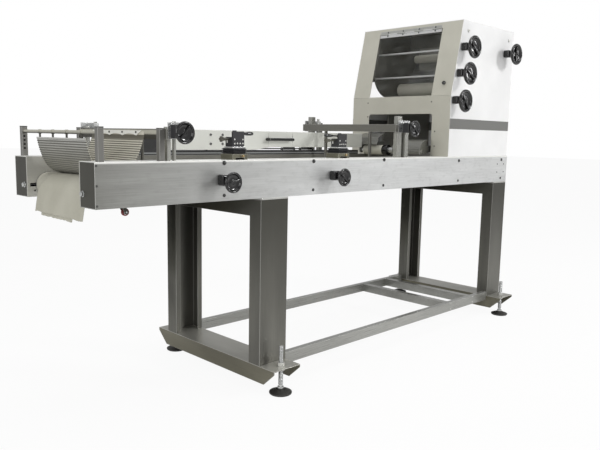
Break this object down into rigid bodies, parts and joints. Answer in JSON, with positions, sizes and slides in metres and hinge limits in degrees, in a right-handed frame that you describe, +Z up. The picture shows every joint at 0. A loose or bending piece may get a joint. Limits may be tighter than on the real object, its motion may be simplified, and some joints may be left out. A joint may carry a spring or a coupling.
{
  "type": "baguette moulder",
  "caption": "Dough moulder: belt conveyor on a portal stand, feed head with handwheels at one end, pressure board under bridges, hanging mat and apron at the discharge end",
  "frame": {"origin": "on the floor under the middle of the bounding box", "axes": "+X from the discharge end to the feed head, +Y from the operator's side to the rear, +Z up"},
  "size_m": [2.835, 0.892, 1.777],
  "materials": {
    "legs": "satin brushed, dark grey-olive",
    "rails": "brushed",
    "fasteners": "bright",
    "feet": "black pad on a steel stud",
    "panels": "brushed along the machine",
    "frame_steel": "satin",
    "end_caps": "dark grey satin",
    "black_screws": "black",
    "belt": "beige felt belt",
    "roller_steel": "turned",
    "cloth": "beige felt",
    "mat": "ribbed, grey-beige",
    "posts": "satin",
    "black_plastic": "matte black",
    "white_plastic": "white",
    "tyre": "dark red tyre",
    "bridge_steel": "grey brushed",
    "gloss_black": "glossy black",
    "cover_white": "gloss white with a mid-grey stripe",
    "frame_beige": "warm grey-beige satin",
    "clear": "clear sheet",
    "roller_beige": "beige sleeve",
    "stainless": "bright rolled sheet"
  },
  "bodies": {
    "base": {"foot_beams": "legs", "portal_left": "legs", "portal_right": "legs", "stand_rails": "rails", "stand_fasteners": "fasteners", "side_panels": "panels", "conveyor_frame": "frame_steel", "end_caps": "end_caps", "panel_screws": "black_screws", "belt": "belt", "cloth_apron": "cloth", "ribbed_mat": "mat", "discharge_posts": "posts", "post_caps": "black_plastic", "hanger_bars": "roller_steel", "scalloped_strip": "white_plastic", "tracking_bracket": "frame_steel", "bridge_columns": "bridge_steel", "rear_rail": "black_plastic", "position_indicators": "black_plastic", "head_plates": "frame_steel", "side_covers": "cover_white", "top_cover": "cover_white", "face_frame": "frame_beige"},
    "foot_1": {"levelling_foot_1": "feet"},
    "foot_2": {"levelling_foot_2": "feet"},
    "foot_3": {"levelling_foot_3": "feet"},
    "foot_4": {"levelling_foot_4": "feet"},
    "end_drum": {"end_roller": "roller_steel"},
    "drum": {"drive_drum": "roller_steel"},
    "tracking": {"tracking_wheel": "tyre"},
    "bridge": {"bridge_crossbars": "bridge_steel", "pressure_board": "white_plastic", "bridge_blocks": "black_plastic"},
    "bridge_knob_left": {"bridge_wheel_left": "gloss_black"},
    "bridge_knob_right": {"bridge_wheel_right": "gloss_black"},
    "guide_left": {"guide_saddle_left": "frame_steel", "guide_housing_left": "black_plastic"},
    "guide_right": {"guide_saddle_right": "frame_steel", "guide_housing_right": "black_plastic"},
    "lever_left": {"clamp_lever_left": "gloss_black"},
    "lever_right": {"clamp_lever_right": "gloss_black"},
    "knob_left": {"star_knob_left": "black_plastic"},
    "knob_right": {"star_knob_right": "black_plastic"},
    "board": {"rear_board": "white_plastic", "board_fittings": "black_plastic"},
    "side_knob_left": {"side_wheel_left": "gloss_black"},
    "side_knob_right": {"side_wheel_right": "gloss_black"},
    "door": {"guard_door": "clear"},
    "lock": {"guard_lock": "black_plastic"},
    "wheel_1": {"head_wheel_1": "gloss_black"},
    "wheel_2": {"head_wheel_2": "gloss_black"},
    "wheel_3": {"head_wheel_3": "gloss_black"},
    "wheel_4": {"head_wheel_4": "gloss_black"},
    "upper_carrier": {"upper_slide": "frame_steel"},
    "upper_feed": {"upper_roller": "roller_beige"},
    "lower_carrier": {"lower_slide": "frame_steel"},
    "lower_feed": {"lower_roller": "roller_beige"},
    "nose": {"nose_arms": "stainless"},
    "nose_feed": {"nose_roller": "roller_beige"}
  },
  "joints": [
    {"name": "foot_turn_1", "type": "hinge", "parent": "base", "child": "foot_1", "pos_m": [-0.5895, -0.396, 0.1], "axis": [0, 0, 1], "range_deg": [-180, 180]},
    {"name": "foot_turn_2", "type": "hinge", "parent": "base", "child": "foot_2", "pos_m": [1.3395, -0.396, 0.1], "axis": [0, 0, 1], "range_deg": [-180, 180]},
    {"name": "foot_turn_3", "type": "hinge", "parent": "base", "child": "foot_3", "pos_m": [-0.5895, 0.396, 0.1], "axis": [0, 0, 1], "range_deg": [-180, 180]},
    {"name": "foot_turn_4", "type": "hinge", "parent": "base", "child": "foot_4", "pos_m": [1.3395, 0.396, 0.1], "axis": [0, 0, 1], "range_deg": [-180, 180]},
    {"name": "drum_turn", "type": "hinge", "parent": "base", "child": "drum", "pos_m": [1.2675, -0.0105, 0.9], "axis": [0, 1, 0], "continuous": true},
    {"name": "end_roller_turn", "type": "hinge", "parent": "base", "child": "end_drum", "pos_m": [-1.3255, -0.0105, 0.9], "axis": [0, 1, 0], "continuous": true},
    {"name": "tracking_turn", "type": "hinge", "parent": "base", "child": "tracking", "pos_m": [-1.2675, -0.29, 0.831], "axis": [0, 1, 0], "continuous": true},
    {"name": "bridge_lift", "type": "slide", "parent": "base", "child": "bridge", "axis": [0, 0, 1], "range_m": [-0.006, 0.025]},
    {"name": "bridge_wheel_left_turn", "type": "hinge", "parent": "bridge", "child": "bridge_knob_left", "pos_m": [-1.0915, -0.0105, 1.115], "axis": [0, 1, 0], "range_deg": [-179.1, 43.1]},
    {"name": "bridge_wheel_right_turn", "type": "hinge", "parent": "bridge", "child": "bridge_knob_right", "pos_m": [0.3105, -0.0105, 1.16], "axis": [0, 1, 0], "range_deg": [-179.1, 43.1]},
    {"name": "guide_left_shift", "type": "slide", "parent": "base", "child": "guide_left", "axis": [0, 1, 0], "range_m": [0, 0.02]},
    {"name": "guide_right_shift", "type": "slide", "parent": "base", "child": "guide_right", "axis": [0, 1, 0], "range_m": [0, 0.02]},
    {"name": "side_wheel_left_turn", "type": "hinge", "parent": "base", "child": "side_knob_left", "pos_m": [-0.8785, -0.343, 0.93], "axis": [0, 1, 0], "range_deg": [0, 343.9]},
    {"name": "side_wheel_right_turn", "type": "hinge", "parent": "base", "child": "side_knob_right", "pos_m": [-0.2355, -0.343, 0.93], "axis": [0, 1, 0], "range_deg": [0, 343.9]},
    {"name": "clamp_lever_left_turn", "type": "hinge", "parent": "guide_left", "child": "lever_left", "pos_m": [-0.7655, -0.288, 1.115], "axis": [0, 1, 0], "range_deg": [-75, 0]},
    {"name": "clamp_lever_right_turn", "type": "hinge", "parent": "guide_right", "child": "lever_right", "pos_m": [-0.1315, -0.288, 1.115], "axis": [0, 1, 0], "range_deg": [0, 75]},
    {"name": "star_knob_left_turn", "type": "hinge", "parent": "guide_left", "child": "knob_left", "pos_m": [-0.7995, -0.288, 1.094], "axis": [1, 0, 0], "range_deg": [-180, 180]},
    {"name": "star_knob_right_turn", "type": "hinge", "parent": "guide_right", "child": "knob_right", "pos_m": [-0.1655, -0.288, 1.094], "axis": [1, 0, 0], "range_deg": [-180, 180]},
    {"name": "rear_board_tilt", "type": "hinge", "parent": "base", "child": "board", "pos_m": [-0.1575, 0.219, 1.043], "axis": [1, 0, 0], "range_deg": [-38, 0]},
    {"name": "guard_door_swing", "type": "hinge", "parent": "base", "child": "door", "pos_m": [0.82513, 0.021, 1.7406], "axis": [0, 1, 0], "range_deg": [0, 75]},
    {"name": "guard_lock_turn", "type": "hinge", "parent": "base", "child": "lock", "pos_m": [0.75812, -0.278, 1.42429], "axis": [0.9762, 0, -0.2169], "range_deg": [0, 90]},
    {"name": "head_wheel_1_turn", "type": "hinge", "parent": "base", "child": "wheel_1", "pos_m": [0.8325, -0.343, 1.619], "axis": [0, 1, 0], "range_deg": [-170, 170]},
    {"name": "upper_roller_gap", "type": "slide", "parent": "base", "child": "upper_carrier", "axis": [1, 0, 0], "range_m": [-0.012, 0.003]},
    {"name": "head_wheel_4_turn", "type": "hinge", "parent": "base", "child": "wheel_4", "pos_m": [1.3165, -0.343, 1.627], "axis": [0, 1, 0], "range_deg": [-275.1, 68.9]},
    {"name": "upper_roller_turn", "type": "hinge", "parent": "upper_carrier", "child": "upper_feed", "pos_m": [1.2035, 0.021, 1.629], "axis": [0, 1, 0], "continuous": true},
    {"name": "lower_roller_gap", "type": "slide", "parent": "base", "child": "lower_carrier", "axis": [1, 0, 0], "range_m": [-0.01, 0.01]},
    {"name": "head_wheel_2_turn", "type": "hinge", "parent": "base", "child": "wheel_2", "pos_m": [0.8005, -0.343, 1.473], "axis": [0, 1, 0], "range_deg": [-172, 172]},
    {"name": "lower_roller_turn", "type": "hinge", "parent": "lower_carrier", "child": "lower_feed", "pos_m": [1.0455, 0.021, 1.419], "axis": [0, 1, 0], "continuous": true},
    {"name": "nose_lift", "type": "hinge", "parent": "base", "child": "nose", "pos_m": [0.9325, 0.021, 1.08], "axis": [0, 1, 0], "range_deg": [-1.5, 6]},
    {"name": "head_wheel_3_turn", "type": "hinge", "parent": "base", "child": "wheel_3", "pos_m": [0.7665, -0.343, 1.322], "axis": [0, 1, 0], "range_deg": [-30.1, 120.1]},
    {"name": "nose_roller_turn", "type": "hinge", "parent": "nose", "child": "nose_feed", "pos_m": [0.6725, 0.021, 1.039], "axis": [0, 1, 0], "continuous": true}
  ],
  "couplings": [
    {"joint": "end_roller_turn", "follows": "drum_turn", "ratio": 1},
    {"joint": "upper_roller_turn", "follows": "drum_turn", "ratio": -1.93},
    {"joint": "lower_roller_turn", "follows": "drum_turn", "ratio": -1.21},
    {"joint": "nose_roller_turn", "follows": "drum_turn", "ratio": -1.67},
    {"joint": "bridge_wheel_left_turn", "follows": "bridge_lift", "rad_per_m": -125},
    {"joint": "bridge_wheel_right_turn", "follows": "bridge_lift", "rad_per_m": -125},
    {"joint": "side_wheel_left_turn", "follows": "guide_left_shift", "rad_per_m": 300},
    {"joint": "side_wheel_right_turn", "follows": "guide_right_shift", "rad_per_m": 300},
    {"joint": "head_wheel_4_turn", "follows": "upper_roller_gap", "rad_per_m": 400},
    {"joint": "head_wheel_2_turn", "follows": "lower_roller_gap", "rad_per_m": 300},
    {"joint": "head_wheel_3_turn", "follows": "nose_lift", "ratio": 20}
  ]
}
